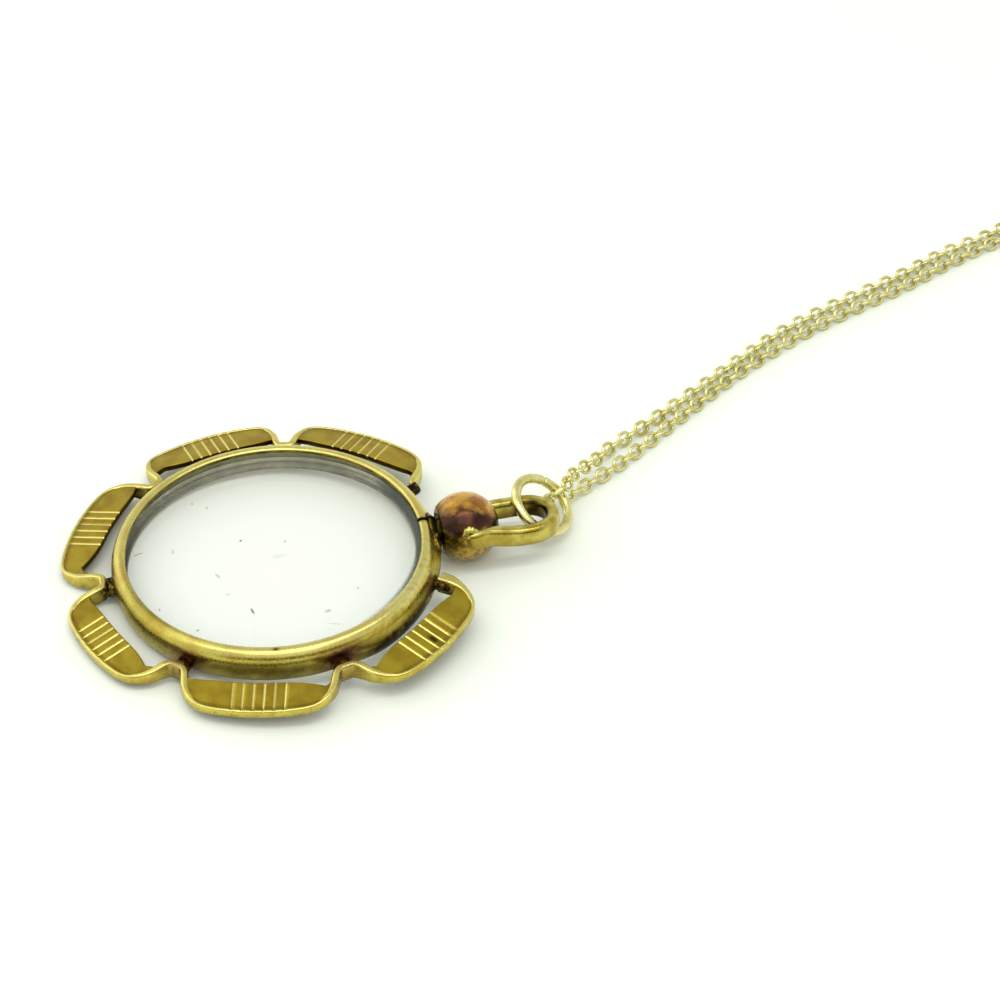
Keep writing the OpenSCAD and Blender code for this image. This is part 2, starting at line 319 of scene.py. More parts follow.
def grid_faces(rows, columns, closed_rows=False, first=0):
    """Quads over points stored row by row; the columns run round the section."""
    faces = []
    for i in range(rows if closed_rows else rows - 1):
        a, b = first + i * columns, first + (i + 1) % rows * columns
        for k in range(columns):
            n = (k + 1) % columns
            faces.append((a + k, a + n, b + n, b + k))
    return faces


def sweep_faces(rows, columns):
    """A closed section swept along an open line, with a face over each end."""
    last = (rows - 1) * columns
    ends = [tuple(range(columns))[::-1], tuple(range(last, last + columns))]
    return grid_faces(rows, columns) + ends


def in_scene(name, data):
    """An object of the scene that shows this data."""
    made = bpy.data.objects.new(name, data)
    bpy.context.scene.collection.objects.link(made)
    return made


def piece(name, points, faces, material, attributes=None, sharp=40):
    """A mesh in metres with smooth shading, kept sharp where faces meet at more than that angle."""
    mesh = bpy.data.meshes.new(name)
    mesh.from_pydata((np.asarray(points) * MM).tolist(), [], faces)
    for key, values in (attributes or {}).items():
        layer = mesh.attributes.new(key, "FLOAT", "POINT")
        layer.data.foreach_set("value", np.asarray(values, np.float32))
    mesh.validate()
    mesh.materials.append(material)
    mesh.shade_smooth()
    mesh.set_sharp_from_angle(angle=math.radians(sharp))
    return in_scene(name, mesh)


def stands_for(made, node_name):
    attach(made, "root")
    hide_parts(node_name)


# Materials
def rgb(hex_colour):
    """Linear colour of an sRGB hex value."""
    parts = [int(hex_colour[i:i + 2], 16) / 255 for i in (1, 3, 5)]
    return [p / 12.92 if p <= 0.04045 else ((p + 0.055) / 1.055) ** 2.4 for p in parts] + [1]


def node(tree, kind, inputs=None, **settings):
    """Add a node with its settings. inputs maps a socket's name, or its number where names repeat,
    to a value, to another node's output, or to a node whose first output it takes."""
    made = tree.nodes.new(kind)
    for key, value in settings.items():
        setattr(made, key, value)
    for key, value in (inputs or {}).items():
        socket = made.inputs[key] if isinstance(key, int) else next(
            s for s in made.inputs if s.enabled and s.name == key)
        if isinstance(value, bpy.types.Node):
            value = next(s for s in value.outputs if s.enabled)
        if isinstance(value, bpy.types.NodeSocket):
            tree.links.new(value, socket)
        else:
            socket.default_value = value
    return made


def empty_tree(owner):
    """The node tree of a material or world, with no nodes in it."""
    owner.use_nodes = True
    owner.node_tree.nodes.clear()
    return owner.node_tree


def new_material(name):
    material = bpy.data.materials.new(name)
    return material, empty_tree(material)


def per_metre(size_mm):
    """Scale of a noise whose lumps are that many millimetres."""
    return 1000 / size_mm


def mottling(tree, size_mm, start, full, strength=1.0):
    """How much an uneven patina shows at each place, in patches of that size."""
    coords = node(tree, "ShaderNodeTexCoord").outputs["Object"]
    clouds = node(tree, "ShaderNodeTexNoise", {"Vector": coords, "Scale": per_metre(size_mm),
        "Detail": 4.0})
    return node(tree, "ShaderNodeMapRange", {"Value": clouds, "From Min": start, "From Max": full,
        "To Max": strength}, interpolation_type="SMOOTHSTEP")


def mottled(tree, colour, patina, size_mm, start, full, strength=1.0):
    """A colour with patches of patina over it."""
    shown = mottling(tree, size_mm, start, full, strength)
    return node(tree, "ShaderNodeMix", {"Factor": shown, "A": colour, "B": rgb(patina)},
        data_type="RGBA")


def blended(tree, value, start, full, colour, other, fade="SMOOTHSTEP"):
    """A colour that turns into another one while a value runs from start to full."""
    shown = node(tree, "ShaderNodeMapRange", {"Value": value, "From Min": start, "From Max": full},
        interpolation_type=fade)
    return node(tree, "ShaderNodeMix", {"Factor": shown, "A": colour, "B": other}, data_type="RGBA")


def layered(tree, colour, layers):
    """A colour with others over it, each as thick as the mesh's attribute of that name says."""
    for name, tint in layers.items():
        shown = node(tree, "ShaderNodeAttribute", attribute_name=name).outputs["Fac"]
        colour = node(tree, "ShaderNodeMix", {"Factor": shown, "A": colour, "B": rgb(tint)},
            data_type="RGBA")
    return colour


def metal(tree, colour, grain_mm, smooth, rough, relief_mm, worn=None, film=0.0):
    """Metal of that colour with a fine grain, whose roughness runs from smooth to rough and changes
    where it is worn: the mesh's attribute, and by how much. A film of oxide lies over it like a
    thin clear coat."""
    coords = node(tree, "ShaderNodeTexCoord").outputs["Object"]
    grain = node(tree, "ShaderNodeTexNoise", {"Vector": coords, "Scale": per_metre(grain_mm),
        "Detail": 3.0})
    polish = node(tree, "ShaderNodeMapRange", {"Value": grain, "From Min": 0.3, "From Max": 0.7,
        "To Min": smooth, "To Max": rough})
    if worn:
        name, change = worn
        shown = node(tree, "ShaderNodeAttribute", attribute_name=name).outputs["Fac"]
        polish = node(tree, "ShaderNodeMath", {0: shown, 1: change, 2: polish},
            operation="MULTIPLY_ADD")
    relief = node(tree, "ShaderNodeBump", {"Height": grain, "Strength": 1.0,
        "Distance": relief_mm * MM})
    shader = node(tree, "ShaderNodeBsdfPrincipled",
        {"Base Color": colour, "Roughness": polish, "Metallic": 1.0, "Normal": relief,
        "Coat Weight": film, "Coat Roughness": 0.2})
    node(tree, "ShaderNodeOutputMaterial", {"Surface": shader})


def worn_rolled_gold_with_painted_light():
    """Rolled gold, drawn and polished long ago: pale where it is rubbed, with a painted highlight
    there, olive where the air has dulled it, brown grime with painted shade low down and in the
    corners, grey dirt with painted shade in the glass's channel, purple fire stain by the solder."""
    material, tree = new_material("worn_rolled_gold_with_painted_light")
    gold = mottled(tree, rgb("#D2C25A"), "#BEA442", 2.2, 0.4, 0.64)
    dulled = mottled(tree, gold, "#937426", 0.22, 0.54, 0.7, 0.5)
    colour = layered(tree, dulled, {"rubbed_sheen": "#E0D48C", "dirt_and_shade": "#B4B698", "stain": "#7A5044",
        "grime_and_shade": "#2E2209"})
    metal(tree, colour, grain_mm=0.16, smooth=0.2, rough=0.32, relief_mm=0.006,
        worn=("grime_and_shade", 0.15))
    return material


def satin_petal_gold():
    """The petals' tops: rolled gold with an even satin grain, deeper in colour than the ribbon,
    with bright-cut lines painted pale as a highlight of their burnished sides, and painted shade
    with grime at the edges."""
    material, tree = new_material("satin_petal_gold")
    gold = mottled(tree, rgb("#AB952F"), "#9A8026", 1.6, 0.38, 0.66)
    flecked = mottled(tree, gold, "#7A6220", 0.22, 0.6, 0.74, 0.5)
    # The cut lines' pale colour is a painted highlight.
    colour = layered(tree, flecked, {"cut": "#EADC86", "grime_and_shade": "#3A2A0C"})
    metal(tree, colour, grain_mm=0.09, smooth=0.28, rough=0.42, relief_mm=0.007,
        worn=("cut", -0.08))
    return material


def old_solder():
    """Gold solder flooded on by torch and never cleaned: pitted, brown-black, in places purple."""
    material, tree = new_material("old_solder")
    gold = mottled(tree, rgb("#B8A044"), "#7A6024", 0.3, 0.42, 0.62)
    colour = layered(tree, gold, {"stain": "#6B4644", "grime_and_shade": "#241708"})
    metal(tree, colour, grain_mm=0.25, smooth=0.22, rough=0.45, relief_mm=0.03)
    return material


def heat_tarnished_gold():
    """The ball: gold coloured by the torch, orange-brown on top, purple-brown round the middle and
    dull grainy gold below, dark beside the post with soot and painted shade."""
    material, tree = new_material("heat_tarnished_gold")
    warmth = node(tree, "ShaderNodeAttribute", attribute_name="warmth").outputs["Fac"]
    coords = node(tree, "ShaderNodeTexCoord").outputs["Object"]
    clouds = node(tree, "ShaderNodeTexNoise", {"Vector": coords, "Scale": per_metre(1.5),
        "Detail": 5.0})
    heat = node(tree, "ShaderNodeMath", {0: clouds, 1: 0.35, 2: warmth}, operation="MULTIPLY_ADD")
    colour = mottled(tree, rgb("#B4963A"), "#866620", 0.35, 0.42, 0.62)
    purple = mottled(tree, rgb("#3E2018"), "#523014", 0.9, 0.45, 0.65)
    orange = mottled(tree, rgb("#D6A246"), "#A06A2C", 1.0, 0.42, 0.62)
    colour = blended(tree, heat, 0.53, 0.62, colour, purple, "LINEAR")
    colour = blended(tree, heat, 0.84, 0.98, colour, orange, "LINEAR")
    colour = layered(tree, colour, {"soot_and_shade": "#1E120C"})
    metal(tree, colour, grain_mm=0.18, smooth=0.2, rough=0.32, relief_mm=0.006, film=0.25)
    return material


def pale_rolled_gold():
    """Jump ring and chain: pale, bright, smooth drawn wire."""
    material, tree = new_material("pale_rolled_gold")
    colour = mottled(tree, rgb("#E4DC9E"), "#CFC57A", 1.1, 0.38, 0.66)
    metal(tree, colour, grain_mm=0.12, smooth=0.2, rough=0.32, relief_mm=0.004)
    return material


def bail_gold():
    """The bail: gold strip, bright on its upper edges, darkened below and inside with painted shade
    and grime, most in its bend.
    """
    material, tree = new_material("bail_gold")
    gold = mottled(tree, rgb("#C8BA60"), "#AA943E", 1.3, 0.4, 0.62)
    colour = layered(tree, gold, {"grime_and_shade": "#3E2C10"})
    metal(tree, colour, grain_mm=0.13, smooth=0.18, rough=0.3, relief_mm=0.005)
    return material


def rim_shade_and_dirt(tree, coords):
    """How much the painted shade and dirt under the lip cover each place of the glass."""
    middle = lay_down([(0, 0, GLASS_TOP_Z)])[0]
    own = node(tree, "ShaderNodeMapping", {"Vector": coords, "Location": tuple(middle * MM),
        "Rotation": (0, -LEAN, 0)}, vector_type="TEXTURE")
    flat = node(tree, "ShaderNodeVectorMath", {0: own, 1: (1, 1, 0)}, operation="MULTIPLY")
    radius = node(tree, "ShaderNodeVectorMath", {0: flat}, operation="LENGTH").outputs["Value"]
    side = node(tree, "ShaderNodeVectorMath", {0: flat, 1: RIM_SHADE_SIDE},
        operation="DOT_PRODUCT").outputs["Value"]
    start, full = (r * MM for r in RIM_SHADE_R)
    rim = node(tree, "ShaderNodeMapRange", {"Value": radius, "From Min": start, "From Max": full})
    start, full = (x * MM for x in RIM_SHADE_OUT)
    ball_side = node(tree, "ShaderNodeMapRange", {"Value": side, "From Min": start,
        "From Max": full, "To Max": RIM_SHADE})
    return node(tree, "ShaderNodeMath", {0: rim, 1: ball_side}, operation="MULTIPLY")


def glass_marks(tree, coords):
    """How much each place is covered by the glass's small marks and by the painted shade and dirt
    along its rim.
    """
    wobble = node(tree, "ShaderNodeTexNoise", {"Vector": coords, "Scale": per_metre(WOBBLE_SIZE)})
    strayed = node(tree, "ShaderNodeVectorMath", {0: wobble.outputs["Color"],
        1: (MARK_WOBBLE * MM,) * 3, 2: coords}, operation="MULTIPLY_ADD")
    covered = rim_shade_and_dirt(tree, coords)
    for azimuth, out, half_l, half_w, heading, strength in GLASS_MARKS:
        place = lay_down([(*polar(out, azimuth), GLASS_TOP_Z)])[0] + MARK_WOBBLE / 2
        own = node(tree, "ShaderNodeMapping", {
            "Vector": strayed, "Location": tuple(place * MM),
            "Rotation": (0, 0, math.radians(heading)),
            "Scale": (half_l * MM, half_w * MM, MARK_DEPTH * MM)}, vector_type="TEXTURE")
        away = node(tree, "ShaderNodeVectorMath", {0: own}, operation="LENGTH").outputs["Value"]
        mark = node(tree, "ShaderNodeMapRange", {"Value": away, "From Min": 1.0, "From Max": 0.4,
            "To Max": strength})
        covered = node(tree, "ShaderNodeMath", {0: covered, 1: mark}, operation="MAXIMUM")
    return covered


def clear_glass():
    """Flat glass of an old locket: clear, lightly scuffed, with a few specks and short scratches,
    and a dark band along its rim, painted shade under the lip with dirt. Lamps and the sky's light
    pass it straight, as they do through a thin pane."""
    material, tree = new_material("clear_glass")
    coords = node(tree, "ShaderNodeTexCoord").outputs["Object"]
    rough = mottling(tree, 0.5, 0.56, 0.8, 0.05)
    glass = node(tree, "ShaderNodeBsdfPrincipled", {"Base Color": rgb("#FFFFFF"),
        "Roughness": rough, "IOR": 1.5, "Transmission Weight": 1.0})
    clear = node(tree, "ShaderNodeBsdfTransparent", {"Color": rgb("#FFFFFF")})
    way = node(tree, "ShaderNodeLightPath").outputs
    straight = node(tree, "ShaderNodeMath", {0: way["Is Shadow Ray"], 1: way["Is Diffuse Ray"]},
        operation="MAXIMUM")
    both = node(tree, "ShaderNodeMixShader", {0: straight, 1: glass, 2: clear})
    # Dark specks, and painted shade with dirt along the rim.
    dirt_and_shade = node(tree, "ShaderNodeBsdfPrincipled", {"Base Color": rgb("#4E5246"), "Roughness": 0.8})
    marked = node(tree, "ShaderNodeMixShader", {0: glass_marks(tree, coords), 1: both, 2: dirt_and_shade})
    node(tree, "ShaderNodeOutputMaterial", {"Surface": marked})
    return material


def pale_table():
    """Matt white table top."""
    material, tree = new_material("pale_table")
    shader = node(tree, "ShaderNodeBsdfPrincipled",
        {"Base Color": rgb("#EFF3EC"), "Roughness": 0.7})
    node(tree, "ShaderNodeOutputMaterial", {"Surface": shader})
    return material


GOLD = worn_rolled_gold_with_painted_light()
PETAL_GOLD = satin_petal_gold()
SOLDER = old_solder()
TARNISHED = heat_tarnished_gold()
PALE_GOLD = pale_rolled_gold()
BAIL_GOLD = bail_gold()
GLASS = clear_glass()
TABLE = pale_table()

# Where the wall is fuller, darkened low down with painted shade and grime, and pitted, in degrees:
# begins, full, full, ends
FULL_WALL = (282, 300, 354, 359.5)
DARK_LOW_WALL = (282, 300, 335, 352)
PITTED_WALL = (285, 305, 340, 356)
FULL_WALL_T = 0.34
# Where the crown has less of its rubbed wear and painted highlight: azimuth, half width in degrees,
# how much, below 0 where it has more; 2 and 362 are one place, seen from either side of the split
DULL_CROWN = [(207, 30, 0.9), (2, 14, 0.5), (318, 18, -0.6), (362, 14, 0.5)]
# Where the wall's low grime and painted shade are lighter: azimuth, half width in degrees, how much
LIGHTER_LOW_WALL = [(205, 30, 0.5), (350, 14, 0.8)]
# Where the crown is darkened with painted shade: azimuth, half width in degrees, how much
SHADED_CROWN = (203, 20, 0.4)
# Where the solder has stained the bezel: azimuth, half width in degrees, purple stain, dark grime
JOINT_STAINS = [(77, 5, 0.0, 0.3), (125.5, 4, 0.1, 0.3), (178.4, 5, 0.2, 0.9), (228, 8, 1.0, 0.4),
                (284, 8, 1.0, 0.4), (330, 6, 0.9, 0.3)]


# Bezel ring
def bezel_section():
    """Radius and height round the ring's section, up the outside, over the upper lip, through the
    channel and round the lower lip."""
    out_power, up_power = BULGE_POWERS
    bulge = [(CROWN_R + (BEZEL_R - CROWN_R) * abs(math.cos(a)) ** out_power,
        math.copysign(HALF_H * abs(math.sin(a)) ** up_power, a))
        for a in np.radians(np.arange(-90, 91, 5))]
    upper = [(LIP_R + out, z) for out, z in LIP_NOSE] + [
        (LIP_R, CHANNEL_HALF_H), (LIP_R + CHANNEL_EDGE, CHANNEL_HALF_H - CHANNEL_EDGE),
        (CHANNEL_R, CHANNEL_HALF_H)]
    lower = [(r, -z) for r, z in reversed(upper)]
    return np.array(bulge + upper + lower)


def bezel_wear(azimuth, radius, height):
    """How rubbed and painted with highlight, dirty, stained and grimy the ring is, with painted
    shade in its dirt and grime, before its unevenness.
    """
    channel = (np.abs(height) <= CHANNEL_HALF_H) & (radius <= CHANNEL_R)
    lower_lip = (height < 0) & (radius < LIP_R + 0.05)
    crown = ramp(0.95, 1.35, height) * ramp(LIP_R, LIP_R + 0.08, radius)
    dull = sum(much * near(azimuth, at, half) for at, half, much in DULL_CROWN)
    # The crown is painted pale: rubbed wear with a painted highlight.
    rubbed_sheen = 0.65 * (1 - np.minimum(dull, 1)) * crown * (1 - channel)
    # Painted shade with grime: the outer wall darkens towards the table.
    low = ramp(0.95, -0.25, height) * ramp(LIP_R + 0.1, CROWN_R + 0.5, radius)
    low *= 1 - sum(much * near(azimuth, at, half) for at, half, much in LIGHTER_LOW_WALL)
    # Painted shade on the lip's inner wall and in the channel.
    lip_wall = ramp(LIP_R + 0.08, LIP_R, radius)
    # Painted shade with grime: the low wall near the ball is nearly black.
    dark_low = rise_and_fall(DARK_LOW_WALL, azimuth) * ramp(0.45, -0.1, height) * (radius > CROWN_R)
    # Painted shade: the crown darkened about one azimuth.
    at, half, much = SHADED_CROWN
    crown_shade = much * near(azimuth, at, half) * (height > 0.7) * (1 - channel)
    grime_and_shade = np.max([0.68 * low, 0.75 * lip_wall, 0.3 * channel, 0.97 * dark_low, crown_shade], axis=0)
    band = ramp(1.1, 0.6, height) * ramp(CROWN_R, CROWN_R + 0.4, radius)
    stain = np.zeros(len(azimuth))
    for at, half, purple, dark in JOINT_STAINS:
        stain = np.maximum(stain, purple * near(azimuth, at, half) * band)
        grime_and_shade = np.maximum(grime_and_shade, dark * near(azimuth, at, half) * band)
    grime_and_shade *= 1 - 0.6 * stain
    # Painted shade in the narrow split: its ends are painted dark.
    split = 1 - 0.8 * ramp(SPLIT_HALF, 1.5, np.minimum(azimuth, 360 - azimuth))
    grime_and_shade = np.maximum(grime_and_shade, split * (split > 0.21))
    # The channel and lower lip are painted grey: dirt with painted shade.
    return rubbed_sheen, 0.85 * np.maximum(channel, lower_lip), stain, grime_and_shade


def bezel_ring():
    section = bezel_section()
    around = np.linspace(SPLIT_HALF, 360 - SPLIT_HALF, 481)
    azimuth = np.repeat(around, len(section))
    radius, height = np.tile(section, (len(around), 1)).T
    rubbed_sheen, dirt_and_shade, stain, grime_and_shade = bezel_wear(azimuth, radius, height)
    swell = np.clip((radius - CROWN_R) / (BEZEL_R - CROWN_R), 0, 1)
    wave = sum(high * np.sin(np.radians(times * azimuth + phase))
        for high, times, phase in WALL_WAVES)
    up_to = 0.7 + 0.6 * ramp(332, 346, azimuth)
    fuller = rise_and_fall(FULL_WALL, azimuth) * ramp(up_to, up_to - 1, height)
    fuller *= FULL_WALL_T * ramp(0.2, 0.8, swell)
    points = polar(radius + (wave - WALL_SET_BACK) * swell + fuller, azimuth)
    points = np.column_stack([points, height])
    uneven = lumps(points, 0.9) * 0.5 + lumps(points, 0.35, 7.3) * 0.4
    pits = rise_and_fall(PITTED_WALL, azimuth) * np.maximum(lumps(points, 0.42, 3.1), 0)
    grime_and_shade = np.clip(grime_and_shade * (1 + 0.55 * uneven) + 0.5 * pits, 0, 1)
    grime_and_shade = np.maximum(grime_and_shade, 0.9 * in_pit(points[:, :2], BEZEL_PIT) * (height > 0))
    made = piece("bezel_ring", lay_down(points), sweep_faces(len(around), len(section)), GOLD,
        {"grime_and_shade": grime_and_shade, "stain": np.clip(stain * (0.9 + 0.8 * uneven), 0, 1),
        "rubbed_sheen": np.clip(rubbed_sheen * (0.8 + 0.5 * uneven), 0, 1), "dirt_and_shade": dirt_and_shade})
    stands_for(made, "bezel")


# Ribbon frame
def ribbon_bend(start_r, start_a, start_pull, end_r, end_a, end_pull):
    """Points of the curve between two places where the ribbon runs round the ring."""
    p0, p3 = polar(start_r, start_a), polar(end_r, end_a)
    span = np.linalg.norm(p3 - p0)
    p1 = p0 + start_pull * span * polar(1, start_a + 90)
    p2 = p3 - end_pull * span * polar(1, end_a + 90)
    u = np.linspace(0, 1, 41)[:, None]
    w = 1 - u
    return w**3 * p0 + 3 * w * w * u * p1 + 3 * w * u * u * p2 + u**3 * p3


def petal_line(petal):
    """Middle line of the ribbon round one petal."""
    first_foot, rim_start, rim_end, last_foot, _ = petal
    mid_r = RIM_R - RIBBON_T / 2
    number = PETALS.index(petal)
    last_pull = FOOT_PULL if number + 1 < len(PETALS) else END_PULL
    rise = ribbon_bend(FOOT_RADII[number], first_foot + FOOT_HALF, FOOT_PULL, mid_r, rim_start,
        RIM_PULL)
    rim = polar(mid_r, np.linspace(rim_start, rim_end, 90)[1:-1])
    fall = ribbon_bend(mid_r, rim_end, RIM_PULL, FOOT_RADII[number + 1], last_foot - FOOT_HALF,
        last_pull)
    return np.concatenate([rise, rim, fall])


def evenly(line, step):
    """The same line with its points that far apart."""
    lengths = np.concatenate([[0], np.cumsum(np.linalg.norm(np.diff(line, axis=0), axis=1))])
    at = np.linspace(0, lengths[-1], int(lengths[-1] / step) + 1)
    return np.stack([np.interp(at, lengths, line[:, k]) for k in range(line.shape[1])], -1)


def swept(line, side, height):
    """Points of sections along a level line: how far each lies to the right of it, and how high."""
    heading = unit(np.gradient(line, axis=0))
    to_right = np.stack([heading[:, 1], -heading[:, 0]], -1)[:, None]
    points = line[:, None] + side[..., None] * to_right
    return np.concatenate([points, height[..., None]], -1).reshape(-1, 3)


def petal_top_z(radius):
    return PETAL_IN_Z - (radius - PETAL_IN_R) * PETAL_SLOPE


def away_from_cuts(points_xy, petal):
    """Distance of each point from the nearest bright-cut line of a petal."""
    out, across = along_and_across(points_xy, petal[4])
    away = np.abs(across[:, None] - CUTS).min(1)
    return np.where(out > PETAL_IN_R - 1, away, 9.0)


def ribbon_sections(inner_w, outer_w, high, low):
    """Place beside the ribbon's line and height of each point of its rounded sections."""
    radius = np.minimum(RIBBON_ROUND, 0.48 * (inner_w + outer_w))
    right, left, top, bottom = outer_w - radius, radius - inner_w, high - radius, low + radius
    side, height = [], []
    corners = ((right, bottom, -90), (right, top, 0), (left, top, 90), (left, bottom, 180))
    for x, z, start in corners:
        for t in np.radians(start + np.arange(0, 91, 30)):
            side.append(x + radius * math.cos(t))
            height.append(z + radius * math.sin(t))
    return np.stack(side, -1), np.stack(height, -1)


def ribbon_frame():
    line = evenly(np.concatenate([petal_line(p) for p in PETALS]), RIBBON_STEP)
    radius = np.linalg.norm(line, axis=1)
    rim = ramp(RIM_R - 0.75, RIM_R - 0.35, radius)
    foot = ramp(RIM_R - 0.9, RIM_R - 1.8, radius)
    last_end = ramp(2.4, 0.6, RIBBON_STEP * np.arange(len(line))[::-1])
    inner_w = RIBBON_T / 2 + rim * (RIM_INNER_W - RIBBON_T / 2) + LAST_END_W[0] * last_end
    outer_w = RIBBON_T / 2 - 0.02 + FOOT_SPREAD * foot + LAST_END_W[1] * last_end
    top = petal_top_z(np.maximum(radius, PETAL_IN_R)) + BEND_PROUD + rim * (RIM_PROUD - BEND_PROUD)
    far_r = RIM_R + 0.3
    share = np.clip((radius - PETAL_IN_R) / (far_r - PETAL_IN_R), 0, 1)
    low = RIBBON_LOW_Z + share * (petal_top_z(far_r) - RIBBON_T - RIBBON_LOW_Z)
    away = np.min([away_from_cuts(line, p) for p in PETALS], axis=0)
    nick = np.where(radius > RIM_R - 0.9, 0.05 * ramp(0.16, 0.02, away), 0)
    side, height = ribbon_sections(inner_w, outer_w, top - nick, low)
    points = swept(line, side, height)
    depth = (top[:, None] - height) / (top - low)[:, None]
    at_foot = foot[:, None]
    # Painted shade with grime: the ribbon's inner face darkens downwards, most at the feet, and its
    # outer face darkens low down.
    inside = np.maximum(0.75 * ramp(0.12, 0.75, depth), 0.95 * at_foot * ramp(0.08, 0.3, depth))
    outside = 0.35 * np.maximum(ramp(0.3, 1.0, depth), at_foot * ramp(0.1, 0.5, depth))
    grime_and_shade = np.where(side < 0, inside, outside).ravel()
    worn = lumps(points, 1.1, 3.1) * 0.7 + lumps(points, 0.3, 5.0) * 0.3
    grime_and_shade = np.clip(grime_and_shade * (1 + 0.8 * worn) + 0.1 * ramp(0.1, 0.5, worn), 0, 1)
    # The ribbon's top edges are painted pale: rubbed wear with a painted highlight.
    rubbed_sheen = 0.55 * ramp(0.18, 0.04, depth).ravel()
    points[:, 2] += 0.015 * lumps(points, 1.6, 9.0)
    azimuth = np.degrees(np.arctan2(points[:, 1], points[:, 0])) % 360
    by_ring = ramp(14.6, 13.6, np.hypot(points[:, 0], points[:, 1]))
    stain = np.max([0.5 * purple * near(azimuth, at, 0.6 * half) * by_ring
        for at, half, purple, _ in JOINT_STAINS], axis=0)
    made = piece("ribbon_frame", lay_down(points), sweep_faces(*side.shape), GOLD,
        {"grime_and_shade": grime_and_shade, "stain": stain, "rubbed_sheen": np.clip(rubbed_sheen * (0.8 + 0.6 * worn), 0, 1)},
        sharp=60)
    stands_for(made, "bezel")


# Petal panels
def petal_outline(petal, inner_radii):
    """Closed outline of a petal's plate in its own frame, x outwards along its middle."""
    start_r, middle_r, end_r = inner_radii
    line = petal_line(petal)
    line = line[np.linalg.norm(line, axis=1) > PETAL_IN_R + 0.45]
    start, end = petal[0] + EDGE_INSET, petal[3] - EDGE_INSET
    s = np.linspace(1, -1, 41)
    flare = np.where(s > 0, end_r, start_r) - middle_r
    inner = polar(middle_r + flare * np.abs(s) ** 3, (start + end) / 2 + s * (end - start) / 2)
    return np.stack(along_and_across(np.concatenate([line, inner]), petal[4]), -1)


def crossings(outline, y):
    """Least and greatest x at which a closed outline crosses a line of constant y."""
    a, b = outline, np.roll(outline, -1, axis=0)
    hit = (a[:, 1] - y) * (b[:, 1] - y) < 0
    t = (y - a[hit, 1]) / (b[hit, 1] - a[hit, 1])
    x = a[hit, 0] + t * (b[hit, 0] - a[hit, 0])
    return x.min(), x.max()


def petal_panel(number, petal, inner_radii):
    """A petal's plate, in columns of points from its inner edge to its rim."""
    outline = petal_outline(petal, inner_radii)
    low_y, high_y = outline[:, 1].min() + PANEL_END, outline[:, 1].max() - PANEL_END
    sides = [CUTS + by for by in (-CUT_HALF_W, -CUT_FLOOR, CUT_FLOOR, CUT_HALF_W)]
    columns = np.sort(np.concatenate([np.linspace(low_y, high_y, 60), *sides]))
    columns = columns[np.concatenate([[True], np.diff(columns) > 0.012])]
    points, grime_and_shade, cut = [], [], []
    for y in columns:
        inner, outer = crossings(outline, y)
        narrow = min(1, (outer - inner) / 0.6)
        depth = ramp(CUT_HALF_W + 0.005, 0.03, np.abs(CUTS - y).min())
        edge = inner + EDGE_IN * narrow
        x = np.concatenate([edge, np.linspace(edge[-1] + 0.14 * narrow, outer, 12), [outer]])
        height = petal_top_z(np.hypot(x, y))
        height[[0, -1]] -= RIBBON_T
        height[1:-1] -= depth * CUT_DEPTH
        height[:len(EDGE_DROP)] -= EDGE_DROP
        points.append(np.stack([x, np.full(len(x), y), height], -1))
        dark = np.zeros(len(x))
        dark[:len(EDGE_SHADE)] = EDGE_SHADE
        dark[-3:] = RIM_SIDE_SHADE
        grime_and_shade.append(dark)
        shine = np.full(len(x), float(depth))
        shine[:2] = shine[-2:] = 0
        cut.append(shine)
    rows, count = len(columns), len(x)
    points = turn(np.concatenate(points), "z", math.radians(petal[4]))
    worn = lumps(points, 0.7, number * 2.7)
    # Painted shade with grime: each panel darkens towards its ends, by the ribbon's feet.
    ends = np.minimum(np.arange(rows), np.arange(rows)[::-1]) / 6
    corner = 0.3 * np.repeat(np.clip(1 - ends, 0, 1), count)
    # Painted shade on some petals' tops as a whole, and the dark pit.
    shade_and_pit = PETAL_SHADE[number - 1] * (1 + 0.5 * worn)
    shade_and_pit += 0.95 * in_pit(points[:, :2], PETAL_PIT)
    grime_and_shade = np.clip(np.concatenate(grime_and_shade) + corner * (1 + worn) + shade_and_pit, 0, 1)
    points[:, 2] += 0.01 * lumps(points, 1.4, number * 5.1)
    made = piece(f"petal_panel_{number}", lay_down(points), sweep_faces(rows, count), PETAL_GOLD,
        {"grime_and_shade": grime_and_shade, "cut": np.concatenate(cut)}, sharp=50)
    stands_for(made, "bezel")


# Solder joints
def ball_grid(rows=26, columns=34):
    """Unit sphere with one point at each pole, and its faces."""
    points, faces = [(0, 0, -1)], []
    for i in range(1, rows):
        a = math.pi * i / rows - math.pi / 2
        for k in range(columns):
            b = 2 * math.pi * k / columns
            points.append((math.cos(a) * math.cos(b), math.cos(a) * math.sin(b), math.sin(a)))
    points.append((0, 0, 1))
    top = len(points) - 1
    for k in range(columns):
        n = (k + 1) % columns
        faces.append((0, 1 + n, 1 + k))
        faces.append((top, top - columns + k, top - columns + n))
    return np.array(points), faces + grid_faces(rows - 1, columns, first=1)


